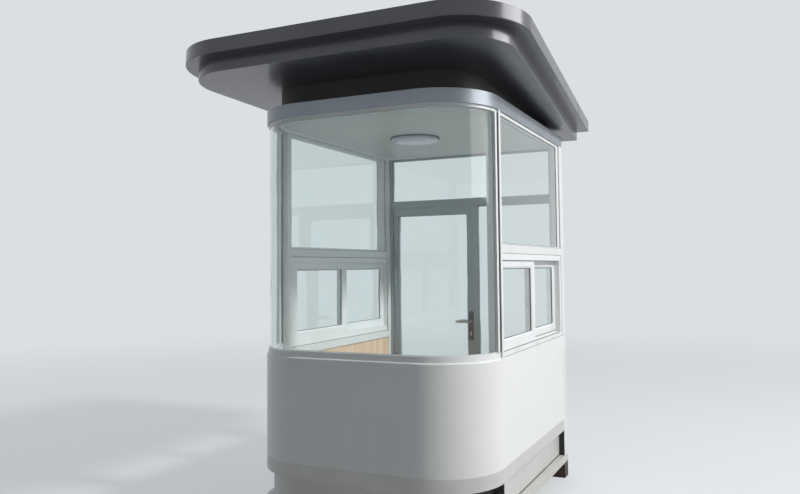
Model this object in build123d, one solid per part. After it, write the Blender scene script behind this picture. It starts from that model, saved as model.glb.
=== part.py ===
from build123d import *
import math
import os

# A security guard booth with two round front corners, a bent glass front, side windows,
# a glazed door at the back and a two step canopy.
# Millimetres, +Z up, front towards -Y. The ground is z = 0 and the canopy is centred on the origin.

# Body
BODY_WIDTH = 1500
BODY_DEPTH = 1928
CORNER_RADIUS = 375
WALL_DEPTH = 80

# Heights, from the ground up
FOOT_HEIGHT = 108
RAIL_HEIGHT = 52
WEB_HEIGHT = 182
SKIRT_HEIGHT = 80
WALL_HEIGHT = 606
CABIN_TOP = 2432
RING_HEIGHT = 78

# Base frame
FOOT_SIZE = 100
FOOT_WALL = 6
RAIL_WIDTH = 80
WEB_INSET = 42
WEB_THICKNESS = 6
FRONT_WEB_ANGLE = 50
BASE_POST_LENGTH = 50
FLOOR_THICKNESS = 18

# Walls
PANEL_THICKNESS = 61
LINING_THICKNESS = 9
TRIM_HEIGHT = 51
TRIM_THICKNESS = 19

# Posts
FRONT_POST_LENGTH = 34
REAR_POST_LENGTH = 92

# Front glass
SILL_ROUND = 9
CHANNEL_INSET = 10
CHANNEL_WIDTH = 26
SILL_CHANNEL_HEIGHT = 34
HEAD_CHANNEL_HEIGHT = 18
END_CHANNEL_LENGTH = 24
END_CHANNEL_INSET = 5
CHANNEL_FLOOR = 8
SEAL_LENGTH = 20
SEAL_WIDTH = 26
SEAL_INSET = 7
GLASS_INSET = 19
GLASS_THICKNESS = 8

# Side windows
TRANSOM_BOTTOM = 1617
TRANSOM_HEIGHT = 49
FIXED_INSET = 8
FIXED_DEPTH = 44
FIXED_FRONT_JAMB = 14
FIXED_REAR_JAMB = 60
FIXED_SILL = 5
FIXED_HEAD = 18
FIXED_BEAD = 4
FIXED_BEAD_DEPTH = 10
FIXED_BEAD_SETBACK = 2
SLIDE_INSET = 2
SLIDE_DEPTH = 66
SLIDE_HEAD = 40
SLIDE_SILL = 28
INNER_TRACK_RISE = 16
RIGHT_FRONT_JAMB = 6
RIGHT_REAR_JAMB = 52
LEFT_FRONT_JAMB = 47
LEFT_REAR_JAMB = 10
OUTER_SASH_INSET = 12
SASH_DEPTH = 26
SASH_GAP = 2
SASH_TOP = 36
SASH_BOTTOM = 59
SASH_JAMB_STILE = 38
SASH_MEETING_STILE = 60
SASH_BEAD = 10
SASH_BEAD_DEPTH = 14
SASH_HEAD_GAP = 4
SASH_TONGUE = 10
PANE_THICKNESS = 5
LATCH_HEIGHT = 75
LATCH_WIDTH = 16
LATCH_DEPTH = 14
LATCH_DROP = 10

# Door and the glazed back wall
DOOR_FRAME_SPAN = 752
DOOR_PROFILE = 16
DOOR_FRAME_DEPTH = 50
DOOR_TOP = 2028
DOOR_GAP = 5
DOOR_FREE_GAP = 7
LEAF_DEPTH = 38
LEAF_HINGE_STILE = 44
LEAF_LOCK_STILE = 54
LEAF_TOP_RAIL = 64
LEAF_BOTTOM_RAIL = 110
DOOR_STOP_WIDTH = 10
HEADER_HEIGHT = 26
LIGHT_FRAME = 12
LIGHT_BEAD = 6
LIGHT_BEAD_DEPTH = 12
BEAD_SETBACK = 2

# Hinges and handle
HINGE_COUNT = 3
HINGE_LENGTH = 90
HINGE_RADIUS = 7
HINGE_PIN_RADIUS = 4
HINGE_PLATE = 3
HINGE_LIFT = 0.5
HINGE_PLATE_WIDTH = 17
HINGE_PLAY = 0.06
KNUCKLE_GAP = 0.5
HANDLE_INSET = 28
LEVER_Z = 1110
PLATE_TOP = 1190
PLATE_LENGTH = 228
PLATE_WIDTH = 38
PLATE_THICKNESS = 8
PLATE_CORNER = 14
PLATE_EDGE = 2
LEVER_LENGTH = 118
LEVER_RADIUS = 9
LEVER_REACH = 45
LEVER_BEND = 14
LEVER_RETURN = 22
COLLAR_RADIUS = 10
COLLAR_PLAY = 0.06
COLLAR_STEP = 5

# Ceiling and lamp
CEILING_THICKNESS = 9
LAMP_X = -55
LAMP_OFFSET = 50
LAMP_RADIUS = 172
LAMP_HEIGHT = 32
LAMP_ROUND = 14

# Canopy
CANOPY_TILT = 3
NECK_INSET = 90
NECK_MIDDLE_HEIGHT = 80
NECK_WALL = 40
NECK_FLANGE_INSET = 30
NECK_FLANGE = 5
LAYER_HEIGHT = 81
LAYER_STEP = 76
CANOPY_FRONT_OVERHANG = 406
CANOPY_REAR_OVERHANG = 372
CANOPY_FRONT_HALF_WIDTH = 1053
CANOPY_REAR_HALF_WIDTH = 884
CANOPY_RADIUS = 390
CANOPY_EDGE = 5
SHEET = 3
DECK_DROP = 8

# Worked out levels and lines
HALF_WIDTH = BODY_WIDTH / 2
CANOPY_LENGTH = BODY_DEPTH + CANOPY_FRONT_OVERHANG + CANOPY_REAR_OVERHANG
FRONT_Y = CANOPY_FRONT_OVERHANG - CANOPY_LENGTH / 2
REAR_Y = FRONT_Y + BODY_DEPTH
MIDDLE_Y = (FRONT_Y + REAR_Y) / 2
CORNER_END_Y = FRONT_Y + CORNER_RADIUS
REAR_POST_Y = REAR_Y - REAR_POST_LENGTH
RAIL_TOP = FOOT_HEIGHT + RAIL_HEIGHT
SKIRT_BOTTOM = RAIL_TOP + WEB_HEIGHT
SKIRT_TOP = SKIRT_BOTTOM + SKIRT_HEIGHT
SILL = SKIRT_TOP + WALL_HEIGHT
FLOOR_TOP = RAIL_TOP + FLOOR_THICKNESS
RING_TOP = CABIN_TOP + RING_HEIGHT
INNER_X = HALF_WIDTH - WALL_DEPTH
WINDOW_FRONT_Y = CORNER_END_Y + FRONT_POST_LENGTH
DOOR_LEFT = -INNER_X
DOOR_RIGHT = DOOR_LEFT + DOOR_FRAME_SPAN
HEADER_BOTTOM = DOOR_TOP + DOOR_GAP
HEADER_TOP = HEADER_BOTTOM + HEADER_HEIGHT
LEAF_LEFT = DOOR_LEFT + DOOR_PROFILE + DOOR_GAP
LEAF_RIGHT = DOOR_RIGHT - DOOR_PROFILE - DOOR_FREE_GAP
LEAF_BOTTOM = FLOOR_TOP + DOOR_GAP
LEAF_FRONT_Y = REAR_Y - LEAF_DEPTH
CANOPY_ANGLE = math.radians(CANOPY_TILT)
# The tilt carries the upper fascia's top edge back, so the canopy moves forward by half of that.
CANOPY_Y = -LAYER_HEIGHT * math.sin(CANOPY_ANGLE) / 2
SOFFIT_Z = RING_TOP + NECK_MIDDLE_HEIGHT + (MIDDLE_Y - CANOPY_Y) * math.tan(CANOPY_ANGLE)
UPPER_LIFT = LAYER_HEIGHT * math.sin(CANOPY_ANGLE)
CANOPY_PLACE = Location((0, CANOPY_Y - UPPER_LIFT, SOFFIT_Z), (-CANOPY_TILT, 0, 0))
HINGE_X = DOOR_LEFT + DOOR_PROFILE + DOOR_GAP / 2
HINGE_Y = REAR_Y + HINGE_RADIUS + HINGE_LIFT


def block(x0, x1, y0, y1, z0, z1):
    """A straight piece between two corners."""
    size = Box(abs(x1 - x0), abs(y1 - y0), abs(z1 - z0))
    return Pos((x0 + x1) / 2, (y0 + y1) / 2, (z0 + z1) / 2) * size


def both_sides(solid):
    """The piece on the right and its mirror image on the left."""
    return [solid, mirror(solid, about=Plane.YZ)]


def body_area(inset, end_y):
    """The body's plan, drawn in by inset, from the round front back to end_y."""
    half = HALF_WIDTH - inset
    radius = CORNER_RADIUS - inset
    flat = half - radius
    bulge = radius * math.sqrt(0.5)
    front = FRONT_Y + inset
    right_arc = ThreePointArc((flat, front), (flat + bulge, CORNER_END_Y - bulge), (half, CORNER_END_Y))
    left_arc = ThreePointArc((-half, CORNER_END_Y), (-flat - bulge, CORNER_END_Y - bulge), (-flat, front))
    edges = [Line((-flat, front), (flat, front)), right_arc]
    if end_y > CORNER_END_Y:
        edges.append(Line((half, CORNER_END_Y), (half, end_y)))
        edges.append(Line((half, end_y), (-half, end_y)))
        edges.append(Line((-half, end_y), (-half, CORNER_END_Y)))
    else:
        edges.append(Line((half, CORNER_END_Y), (-half, CORNER_END_Y)))
    edges.append(left_arc)
    return make_face(edges)


def bow(inset, thickness, z0, z1, end_y=CORNER_END_Y):
    """A band bent round the front, open at the back."""
    area = body_area(inset, end_y) - body_area(inset + thickness, end_y)
    return Pos(0, 0, z0) * extrude(area, z1 - z0)


def bow_part(inset, thickness, z0, z1, y0, y1):
    """The pieces of such a band that lie between two distances from the front."""
    room = block(-BODY_WIDTH, BODY_WIDTH, y0, y1, z0, z1)
    return (bow(inset, thickness, z0, z1) & room).solids()


def side_frame(x0, x1, y0, y1, z0, z1, front, rear, sill, head):
    """A rectangular frame that lies in a side wall."""
    outer = block(x0, x1, y0, y1, z0, z1)
    return outer - block(x0, x1, y0 + front, y1 - rear, z0 + sill, z1 - head)


def side_bead(middle, y0, y1, z0, z1, width, depth):
    """The bead in a side frame and the pane that it holds, both centred on x = middle."""
    bead = side_frame(middle - depth / 2, middle + depth / 2, y0, y1, z0, z1, width, width, width, width)
    pane = block(
        middle - PANE_THICKNESS / 2, middle + PANE_THICKNESS / 2,
        y0 + width, y1 - width, z0 + width, z1 - width,
    )
    return bead, pane


def back_frame(x0, x1, y0, y1, z0, z1, left_stile, right_stile, sill, head):
    """A rectangular frame that lies in the back wall."""
    outer = block(x0, x1, y0, y1, z0, z1)
    return outer - block(x0 + left_stile, x1 - right_stile, y0, y1, z0 + sill, z1 - head)


def glazed_frame(x0, x1, y0, y1, z0, z1, left_stile, right_stile, sill, head):
    """A back frame with its bead near the outer face, and the pane that the bead holds."""
    frame = back_frame(x0, x1, y0, y1, z0, z1, left_stile, right_stile, sill, head)
    left = x0 + left_stile
    right = x1 - right_stile
    low = z0 + sill
    high = z1 - head
    bead_y1 = y1 - BEAD_SETBACK
    bead_y0 = bead_y1 - LIGHT_BEAD_DEPTH
    middle = (bead_y0 + bead_y1) / 2
    bead = LIGHT_BEAD
    frame += back_frame(left, right, bead_y0, bead_y1, low, high, bead, bead, bead, bead)
    pane = block(
        left + bead, right - bead,
        middle - PANE_THICKNESS / 2, middle + PANE_THICKNESS / 2,
        low + bead, high - bead,
    )
    return frame, pane


def canopy_area(inset):
    """The canopy's plan: straight front, quarter arcs, sides that draw in towards the back."""
    wide = CANOPY_FRONT_HALF_WIDTH - inset
    narrow = CANOPY_REAR_HALF_WIDTH - inset
    radius = CANOPY_RADIUS - inset
    flat = wide - radius
    front = -CANOPY_LENGTH / 2 + inset
    arc_end = front + radius
    back = CANOPY_LENGTH / 2 - inset
    bulge = radius * math.sqrt(0.5)
    edges = [
        Line((-flat, front), (flat, front)),
        ThreePointArc((flat, front), (flat + bulge, arc_end - bulge), (wide, arc_end)),
        Line((wide, arc_end), (narrow, back)),
        Line((narrow, back), (-narrow, back)),
        Line((-narrow, back), (-wide, arc_end)),
        ThreePointArc((-wide, arc_end), (-flat - bulge, arc_end - bulge), (-flat, front)),
    ]
    return make_face(edges)


def canopy_tray(inset):
    """One layer of the canopy: a soffit sheet with an upright fascia and a rounded lower edge."""
    tray = extrude(canopy_area(inset), LAYER_HEIGHT)
    tray = fillet(tray.faces().sort_by(Axis.Z)[0].edges(), CANOPY_EDGE)
    return tray - Pos(0, 0, SHEET) * extrude(canopy_area(inset + SHEET), LAYER_HEIGHT)


def tilted(height):
    """A place in the canopy, which is level across and rises to the front; height is above its soffit."""
    return CANOPY_PLACE * Pos(0, 0, height)


def make_base():
    foot = block(0, FOOT_SIZE, 0, FOOT_SIZE, 0, FOOT_HEIGHT)
    foot -= block(FOOT_WALL, FOOT_SIZE - FOOT_WALL, FOOT_WALL, FOOT_SIZE - FOOT_WALL, FOOT_WALL, FOOT_HEIGHT)
    feet = []
    for y in (CORNER_END_Y, REAR_Y - FOOT_SIZE):
        feet += both_sides(Pos(HALF_WIDTH - FOOT_SIZE, y, 0) * foot)
    rail_area = body_area(0, REAR_Y) - body_area(RAIL_WIDTH, REAR_Y - RAIL_WIDTH)
    rail = Pos(0, 0, FOOT_HEIGHT) * extrude(rail_area, RAIL_HEIGHT)
    floor_area = body_area(PANEL_THICKNESS, REAR_Y)
    floor = Pos(0, 0, RAIL_TOP) * extrude(floor_area, FLOOR_THICKNESS)
    post_pocket = block(INNER_X, HALF_WIDTH, REAR_POST_Y, REAR_Y, RAIL_TOP, FLOOR_TOP)
    for pocket in both_sides(post_pocket):
        floor -= pocket
    floor -= block(DOOR_RIGHT, INNER_X, REAR_Y - PANEL_THICKNESS, REAR_Y, RAIL_TOP, FLOOR_TOP)

    web_x = HALF_WIDTH - WEB_INSET
    web_front_y = CORNER_END_Y + BASE_POST_LENGTH
    side_web = block(web_x - WEB_THICKNESS, web_x, web_front_y, REAR_POST_Y, RAIL_TOP, SKIRT_BOTTOM)
    curved = bow(WEB_INSET, WEB_THICKNESS, RAIL_TOP, SKIRT_BOTTOM)
    radius = CORNER_RADIUS - WEB_INSET
    open_x = HALF_WIDTH - CORNER_RADIUS + radius * math.sin(math.radians(FRONT_WEB_ANGLE))
    for cut in both_sides(block(open_x, HALF_WIDTH, FRONT_Y, CORNER_END_Y, RAIL_TOP, SKIRT_BOTTOM)):
        curved -= cut
    rear_web_y = REAR_Y - WEB_INSET
    rear_web = block(DOOR_RIGHT, INNER_X, rear_web_y - WEB_THICKNESS, rear_web_y, RAIL_TOP, SKIRT_BOTTOM)
    webs = [curved] + both_sides(side_web) + [rear_web]
    base_post = block(
        HALF_WIDTH - PANEL_THICKNESS, HALF_WIDTH, CORNER_END_Y, web_front_y, RAIL_TOP, SKIRT_BOTTOM
    )
    skirt = [
        bow(0, PANEL_THICKNESS, SKIRT_BOTTOM, SKIRT_TOP, REAR_POST_Y),
        block(DOOR_RIGHT, INNER_X, REAR_Y - PANEL_THICKNESS, REAR_Y, SKIRT_BOTTOM, SKIRT_TOP),
    ]
    return {
        "feet": feet,
        "bottom_rail": rail,
        "floor": floor,
        "base_webs": webs,
        "base_posts": both_sides(base_post),
        "skirt_band": skirt,
    }


def make_walls():
    inner = HALF_WIDTH - PANEL_THICKNESS
    front_wall = Pos(0, 0, SKIRT_TOP) * extrude(body_area(0, CORNER_END_Y), WALL_HEIGHT)
    top_edges = front_wall.edges().filter_by_position(Axis.Z, SILL, SILL)
    # All but the edge at the back, where the side walls begin.
    front_wall = fillet(top_edges.sort_by(Axis.Y)[:-1], SILL_ROUND)
    front_wall -= Pos(0, 0, SKIRT_TOP) * extrude(body_area(PANEL_THICKNESS, CORNER_END_Y), WALL_HEIGHT)
    right_wall = block(inner, HALF_WIDTH, CORNER_END_Y, REAR_POST_Y, SKIRT_TOP, SILL)
    lining_top = SILL - TRIM_HEIGHT
    front_lining = bow(PANEL_THICKNESS, LINING_THICKNESS, FLOOR_TOP, lining_top)
    side_lining = block(inner - LINING_THICKNESS, inner, CORNER_END_Y, REAR_POST_Y, FLOOR_TOP, lining_top)
    rear_lining = block(
        DOOR_RIGHT, INNER_X,
        REAR_Y - PANEL_THICKNESS - LINING_THICKNESS, REAR_Y - PANEL_THICKNESS, FLOOR_TOP, SKIRT_TOP,
    )
    trim = bow(PANEL_THICKNESS, TRIM_THICKNESS, lining_top, SILL, REAR_POST_Y)
    return {
        "front_wall": front_wall,
        "left_wall": mirror(right_wall, about=Plane.YZ),
        "right_wall": right_wall,
        "front_lining": front_lining,
        "side_linings": both_sides(side_lining),
        "rear_lining": rear_lining,
        "sill_trim": trim,
    }


def make_posts():
    front = block(INNER_X, HALF_WIDTH, CORNER_END_Y, WINDOW_FRONT_Y, SILL, CABIN_TOP)
    rear = block(INNER_X, HALF_WIDTH, REAR_POST_Y, REAR_Y, RAIL_TOP, CABIN_TOP)
    transom = block(
        INNER_X, HALF_WIDTH, WINDOW_FRONT_Y, REAR_POST_Y, TRANSOM_BOTTOM, TRANSOM_BOTTOM + TRANSOM_HEIGHT
    )
    ring_area = body_area(0, REAR_Y) - body_area(WALL_DEPTH, REAR_Y - WALL_DEPTH)
    ring = Pos(0, 0, CABIN_TOP) * extrude(ring_area, RING_HEIGHT)
    return {
        "front_posts": both_sides(front),
        "rear_posts": both_sides(rear),
        "side_transoms": both_sides(transom),
        "ring_beam": ring,
    }


def make_front_glass():
    """One bent sheet in a U channel at its foot, head and both ends."""
    foot_top = SILL + SILL_CHANNEL_HEIGHT
    head_bottom = CABIN_TOP - HEAD_CHANNEL_HEIGHT
    glass_z0 = SILL + CHANNEL_FLOOR
    glass_z1 = CABIN_TOP - CHANNEL_FLOOR
    seal_y = CORNER_END_Y - SEAL_LENGTH
    end_y = seal_y - END_CHANNEL_LENGTH
    end_width = CHANNEL_INSET + CHANNEL_WIDTH - END_CHANNEL_INSET
    glass_end_y = seal_y - CHANNEL_FLOOR
    whole = bow(GLASS_INSET, GLASS_THICKNESS, glass_z0, glass_z1)
    glass = whole - block(-BODY_WIDTH, BODY_WIDTH, glass_end_y, CORNER_END_Y, glass_z0, glass_z1)
    low = bow(CHANNEL_INSET, CHANNEL_WIDTH, SILL, foot_top) - glass
    high = bow(CHANNEL_INSET, CHANNEL_WIDTH, head_bottom, CABIN_TOP) - glass
    channels = [low, high]
    for post in bow_part(END_CHANNEL_INSET, end_width, foot_top, head_bottom, end_y, seal_y):
        channels.append(post - glass)
    seals = bow_part(SEAL_INSET, SEAL_WIDTH, foot_top, head_bottom, seal_y, CORNER_END_Y)
    return {"glazing_channels": channels, "front_glass": glass, "glass_seals": list(seals)}


def make_sash(x0, y0, length, z0, front_stile, rear_stile):
    """One sliding sash with its tongue in the frame's head, its bead and its pane."""
    x1 = x0 + SASH_DEPTH
    y1 = y0 + length
    z1 = TRANSOM_BOTTOM - SLIDE_HEAD - SASH_HEAD_GAP
    bottom = SILL + SLIDE_SILL + SASH_BOTTOM - z0
    sash = side_frame(x0, x1, y0, y1, z0, z1, front_stile, rear_stile, bottom, SASH_TOP)
    middle = (x0 + x1) / 2
    sash += block(middle - SASH_TONGUE / 2, middle + SASH_TONGUE / 2, y0, y1, z1, z1 + SASH_HEAD_GAP)
    bead, pane = side_bead(
        middle, y0 + front_stile, y1 - rear_stile, z0 + bottom, z1 - SASH_TOP, SASH_BEAD, SASH_BEAD_DEPTH
    )
    return sash + bead, pane


def make_sliding_window(front_jamb, rear_jamb, outer_sash_in_front):
    """The frame with two tracks and its two closed sashes, in the right wall."""
    x1 = HALF_WIDTH - SLIDE_INSET
    x0 = x1 - SLIDE_DEPTH
    head_z = TRANSOM_BOTTOM
    frame = side_frame(
        x0, x1, WINDOW_FRONT_Y, REAR_POST_Y, SILL, head_z,
        front_jamb, rear_jamb, SLIDE_SILL, SLIDE_HEAD,
    )
    run_front = WINDOW_FRONT_Y + front_jamb
    run_rear = REAR_POST_Y - rear_jamb
    outer_z = SILL + SLIDE_SILL
    inner_z = outer_z + INNER_TRACK_RISE
    outer_x = HALF_WIDTH - OUTER_SASH_INSET - SASH_DEPTH
    inner_x = outer_x - SASH_GAP - SASH_DEPTH
    frame += block(x0, inner_x + SASH_DEPTH, run_front, run_rear, outer_z, inner_z)
    length = (run_rear - run_front + SASH_MEETING_STILE) / 2
    front_stiles = (SASH_JAMB_STILE, SASH_MEETING_STILE)
    rear_stiles = (SASH_MEETING_STILE, SASH_JAMB_STILE)
    if outer_sash_in_front:
        outer_y = run_front
        inner_y = run_rear - length
        outer_stiles, inner_stiles = front_stiles, rear_stiles
        latch_y = inner_y - LATCH_DEPTH
    else:
        outer_y = run_rear - length
        inner_y = run_front
        outer_stiles, inner_stiles = rear_stiles, front_stiles
        latch_y = inner_y + length
    outer_sash, outer_pane = make_sash(outer_x, outer_y, length, outer_z, *outer_stiles)
    inner_sash, inner_pane = make_sash(inner_x, inner_y, length, inner_z, *inner_stiles)
    latch_x = inner_x + SASH_DEPTH / 2
    latch_z = (inner_z + head_z - SLIDE_HEAD) / 2 - LATCH_DROP
    latch = block(
        latch_x - LATCH_WIDTH / 2, latch_x + LATCH_WIDTH / 2, latch_y, latch_y + LATCH_DEPTH,
        latch_z - LATCH_HEIGHT / 2, latch_z + LATCH_HEIGHT / 2,
    )
    return {
        "sliding_window_frames": [frame],
        "outer_sashes": [outer_sash],
        "inner_sashes": [inner_sash],
        "sash_panes": [outer_pane, inner_pane],
        "sash_latches": [latch],
    }


def make_side_windows():
    x1 = HALF_WIDTH - FIXED_INSET
    x0 = x1 - FIXED_DEPTH
    fixed_z0 = TRANSOM_BOTTOM + TRANSOM_HEIGHT
    fixed = side_frame(
        x0, x1, WINDOW_FRONT_Y, REAR_POST_Y, fixed_z0, CABIN_TOP,
        FIXED_FRONT_JAMB, FIXED_REAR_JAMB, FIXED_SILL, FIXED_HEAD,
    )
    # The pane sits near the outer face.
    bead, pane = side_bead(
        x1 - FIXED_BEAD_SETBACK - FIXED_BEAD_DEPTH / 2,
        WINDOW_FRONT_Y + FIXED_FRONT_JAMB, REAR_POST_Y - FIXED_REAR_JAMB,
        fixed_z0 + FIXED_SILL, CABIN_TOP - FIXED_HEAD, FIXED_BEAD, FIXED_BEAD_DEPTH,
    )
    pieces = {"upper_window_frames": both_sides(fixed + bead), "upper_window_panes": both_sides(pane)}
    # Both sliding windows are one product: seen from outside, the sash on the left is the outer one.
    right = make_sliding_window(RIGHT_FRONT_JAMB, RIGHT_REAR_JAMB, True)
    left = make_sliding_window(LEFT_FRONT_JAMB, LEFT_REAR_JAMB, False)
    for name, solids in right.items():
        pieces[name] = solids + [mirror(solid, about=Plane.YZ) for solid in left[name]]
    return pieces


def make_back_wall():
    y0 = REAR_Y - DOOR_FRAME_DEPTH
    # Two jambs stand under the header, and the stop joins them round the doorway.
    left_x = DOOR_LEFT + DOOR_PROFILE
    right_x = DOOR_RIGHT - DOOR_PROFILE
    frame = block(DOOR_LEFT, DOOR_RIGHT, y0, REAR_Y, FLOOR_TOP, HEADER_BOTTOM)
    frame -= block(left_x, right_x, y0, REAR_Y, FLOOR_TOP, HEADER_BOTTOM)
    stop_y1 = LEAF_FRONT_Y - DOOR_GAP
    stop = block(left_x, right_x, y0, stop_y1, FLOOR_TOP, HEADER_BOTTOM)
    stop -= block(
        left_x + DOOR_STOP_WIDTH, right_x - DOOR_STOP_WIDTH,
        y0, stop_y1, FLOOR_TOP, HEADER_BOTTOM - DOOR_STOP_WIDTH,
    )
    frame += stop
    header = block(-INNER_X, INNER_X, y0, REAR_Y, HEADER_BOTTOM, HEADER_TOP)
    upper, upper_pane = glazed_frame(
        -INNER_X, INNER_X, y0, REAR_Y, HEADER_TOP, CABIN_TOP,
        LIGHT_FRAME, LIGHT_FRAME, LIGHT_FRAME, LIGHT_FRAME,
    )
    side, side_pane_solid = glazed_frame(
        DOOR_RIGHT, INNER_X, y0, REAR_Y, SKIRT_TOP, HEADER_BOTTOM,
        LIGHT_FRAME, LIGHT_FRAME, LIGHT_FRAME, LIGHT_FRAME,
    )
    return {
        "door_frame": frame,
        "rear_header": header,
        "rear_transom_frame": upper,
        "rear_transom_pane": upper_pane,
        "side_light_frame": side,
        "side_light_pane": side_pane_solid,
    }


def make_door():
    leaf, pane = glazed_frame(
        LEAF_LEFT, LEAF_RIGHT, LEAF_FRONT_Y, REAR_Y, LEAF_BOTTOM, DOOR_TOP,
        LEAF_HINGE_STILE, LEAF_LOCK_STILE, LEAF_BOTTOM_RAIL, LEAF_TOP_RAIL,
    )
    spindle_x = LEAF_RIGHT - HANDLE_INSET
    leaf_middle = (LEAF_FRONT_Y + REAR_Y) / 2
    bore = Pos(spindle_x, leaf_middle, LEVER_Z) * Rot(90, 0, 0) * Cylinder(
        COLLAR_RADIUS + COLLAR_PLAY, 2 * LEAF_DEPTH
    )
    leaf -= bore
    plate_middle_z = PLATE_TOP - PLATE_LENGTH / 2
    plate = extrude(RectangleRounded(PLATE_WIDTH, PLATE_LENGTH, PLATE_CORNER), PLATE_THICKNESS)
    plate = fillet(plate.faces().sort_by(Axis.Z)[-1].edges(), PLATE_EDGE)
    # The plate is drawn lying down and is stood up on the leaf's outer face.
    outer_plate = Pos(spindle_x, REAR_Y, plate_middle_z) * Rot(-90, 0, 0) * plate - bore
    across = Plane.XZ.offset(-leaf_middle)
    plates = [outer_plate, mirror(outer_plate, about=across)]

    reach_y = REAR_Y + LEVER_REACH
    tip_x = spindle_x - LEVER_LENGTH
    path = FilletPolyline(
        (spindle_x, leaf_middle, LEVER_Z),
        (spindle_x, reach_y, LEVER_Z),
        (tip_x, reach_y, LEVER_Z),
        (tip_x, reach_y - LEVER_RETURN, LEVER_Z),
        radius=LEVER_BEND,
    )
    profile = Plane(origin=path @ 0, z_dir=path % 0) * Circle(LEVER_RADIUS)
    outer_arm = sweep(profile, path=path)
    collar_length = LEAF_DEPTH + 2 * PLATE_THICKNESS + 2 * COLLAR_STEP
    collar = Pos(spindle_x, leaf_middle, LEVER_Z) * Rot(90, 0, 0) * Cylinder(COLLAR_RADIUS, collar_length)
    levers = collar + outer_arm + mirror(outer_arm, about=across)
    fixed_hinges, moving_hinges = make_hinges()
    return {
        "door_leaf": leaf,
        "door_pane": pane,
        "handle_plates": plates,
        "door_levers": levers,
        "frame_hinges": fixed_hinges,
        "door_hinges": moving_hinges,
    }


def make_hinges():
    """Butt hinges with one long knuckle on the leaf between two on the frame."""
    third = HINGE_LENGTH / 3
    low = REAR_Y - HINGE_Y
    high = low + HINGE_PLATE
    fixed = []
    moving = []
    leaf_height = DOOR_TOP - LEAF_BOTTOM
    for number in range(HINGE_COUNT):
        share = (number + 0.5) / HINGE_COUNT
        centre = Pos(HINGE_X, HINGE_Y, LEAF_BOTTOM + leaf_height * share)
        barrel = Cylinder(HINGE_RADIUS, HINGE_LENGTH)
        window = Cylinder(HINGE_RADIUS, third)
        pin = Cylinder(HINGE_PIN_RADIUS, third)
        plate = block(-HINGE_PLATE_WIDTH, 0, low, high, -HINGE_LENGTH / 2, HINGE_LENGTH / 2)
        relief = block(-HINGE_RADIUS, 0, low, high, -third / 2, third / 2)
        fixed.append(centre * (barrel + plate - window - relief + pin))
        knuckle_length = third - 2 * KNUCKLE_GAP
        knuckle = Cylinder(HINGE_RADIUS, knuckle_length)
        leaf_plate = block(0, HINGE_PLATE_WIDTH, low, high, -knuckle_length / 2, knuckle_length / 2)
        knuckle = knuckle + leaf_plate - Cylinder(HINGE_PIN_RADIUS + HINGE_PLAY, third)
        moving.append(centre * knuckle)
    return fixed, moving


def make_top():
    ceiling_area = body_area(WALL_DEPTH, REAR_Y - WALL_DEPTH)
    ceiling = Pos(0, 0, CABIN_TOP) * extrude(ceiling_area, CEILING_THICKNESS)
    lamp = Cylinder(LAMP_RADIUS, LAMP_HEIGHT)
    lamp = fillet(lamp.faces().sort_by(Axis.Z)[0].edges(), LAMP_ROUND)
    lamp = Pos(LAMP_X, MIDDLE_Y + LAMP_OFFSET, CABIN_TOP - LAMP_HEIGHT / 2) * lamp
    neck_top = RING_TOP + 2 * NECK_MIDDLE_HEIGHT
    neck_area = body_area(NECK_INSET, REAR_Y - NECK_INSET)
    neck_area -= body_area(NECK_INSET + NECK_WALL, REAR_Y - NECK_INSET - NECK_WALL)
    neck = Pos(0, 0, RING_TOP) * extrude(neck_area, neck_top - RING_TOP)
    room = Box(2 * CANOPY_LENGTH, 2 * CANOPY_LENGTH, neck_top, align=(Align.CENTER, Align.CENTER, Align.MIN))
    flange_area = body_area(NECK_FLANGE_INSET, REAR_Y - NECK_FLANGE_INSET)
    flange_area -= body_area(NECK_INSET + NECK_WALL, REAR_Y - NECK_INSET - NECK_WALL)
    neck += Pos(0, 0, RING_TOP) * extrude(flange_area, NECK_FLANGE)
    neck -= tilted(0) * room

    lower = canopy_tray(LAYER_STEP)
    upper = canopy_tray(0)
    deck = Pos(0, 0, LAYER_HEIGHT - DECK_DROP - SHEET) * extrude(canopy_area(SHEET), SHEET)
    return {
        "ceiling": ceiling,
        "ceiling_lamp": lamp,
        "roof_neck": neck,
        "lower_canopy": tilted(0) * lower,
        "upper_canopy": tilted(LAYER_HEIGHT) * upper,
        "roof_deck": tilted(LAYER_HEIGHT) * deck,
    }


def write_parts():
    os.makedirs("parts", exist_ok=True)
    pieces = {}
    for group in (make_base, make_walls, make_posts, make_front_glass, make_side_windows):
        pieces.update(group())
    for group in (make_back_wall, make_door, make_top):
        pieces.update(group())
    for name, shape in pieces.items():
        if isinstance(shape, list):
            solids = [solid for piece in shape for solid in piece.solids()]
            shape = Compound(children=solids)
        shape.label = name
        export_step(shape, f"parts/{name}.step")


write_parts()
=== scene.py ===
import math
import bmesh
import bpy
from mathutils import Matrix, Vector


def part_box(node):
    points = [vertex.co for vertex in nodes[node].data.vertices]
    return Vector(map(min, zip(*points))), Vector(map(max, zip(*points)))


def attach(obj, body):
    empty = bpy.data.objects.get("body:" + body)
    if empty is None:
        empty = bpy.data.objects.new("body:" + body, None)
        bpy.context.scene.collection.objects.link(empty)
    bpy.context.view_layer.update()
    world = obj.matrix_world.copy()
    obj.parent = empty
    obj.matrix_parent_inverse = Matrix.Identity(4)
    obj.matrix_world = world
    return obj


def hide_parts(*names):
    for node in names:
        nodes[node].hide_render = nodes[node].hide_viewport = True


# Looks for a security guard booth: white powder coated walls, silver grey trim, a graphite
# canopy, clear bent glass, aluminium windows and a glazed back door.
# Metres, +Z up, round glass front towards -Y, the same frame as the solids.

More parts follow.
